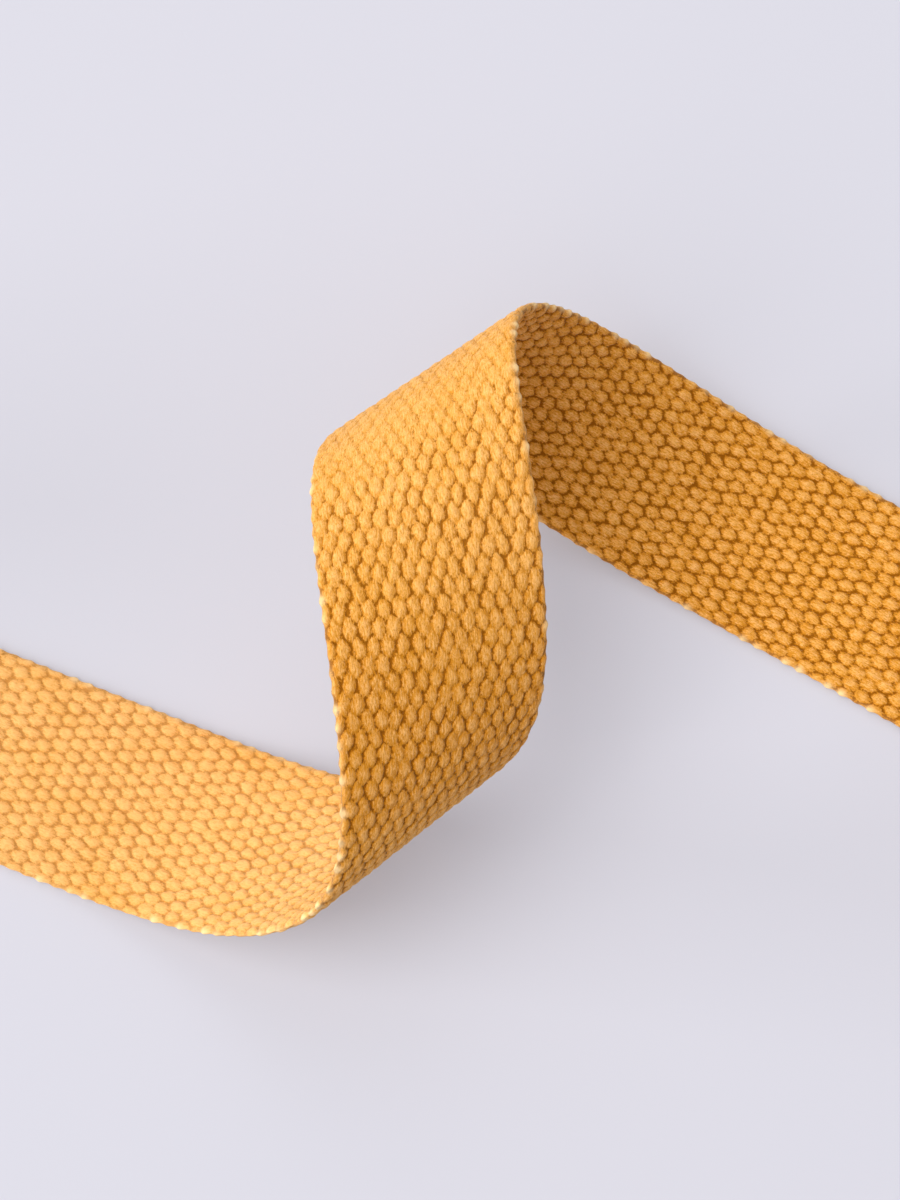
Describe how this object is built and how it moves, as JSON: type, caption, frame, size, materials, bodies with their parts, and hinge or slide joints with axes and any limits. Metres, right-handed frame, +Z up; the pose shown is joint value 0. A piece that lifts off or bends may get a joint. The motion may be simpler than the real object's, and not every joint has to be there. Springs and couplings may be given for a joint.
{
  "type": "martial arts belt",
  "caption": "Woven cotton webbing belt, laid in a standing helical loop with both ends rolled up flat on the surface.",
  "frame": {"origin": "centre of the bounding box on the surface that the belt lies on", "axes": "+X along the belt's overall length from its left roll to its right roll, +Z up from the surface"},
  "size_m": [0.4614, 0.1288, 0.0784],
  "materials": {
    "webbing": "coarse matt plain weave",
    "sewing_thread": "matt twisted thread"
  },
  "bodies": {
    "left_end": {"left_roll": "webbing", "left_run": "webbing", "left_end_hem": "webbing", "left_hem_stitch_row_1": "sewing_thread", "left_hem_stitch_row_2": "sewing_thread"},
    "loop": {"near_bend": "webbing", "crown": "webbing", "far_bend": "webbing"},
    "right_end": {"right_run": "webbing", "right_roll": "webbing", "right_end_hem": "webbing", "right_hem_stitch_row_1": "sewing_thread", "right_hem_stitch_row_2": "sewing_thread"}
  },
  "joints": [
    {"name": "near_bend_flex", "type": "hinge", "parent": "left_end", "child": "loop", "pos_m": [-0.00848, -0.03861, 0.00664], "axis": [-0.7817, -0.6237, 0], "range_deg": [0, 20]},
    {"name": "far_bend_flex", "type": "hinge", "parent": "loop", "child": "right_end", "pos_m": [0.06914, 0.03919, 0.00824], "axis": [-0.8595, -0.511, -0.0107], "range_deg": [0, 25]}
  ]
}
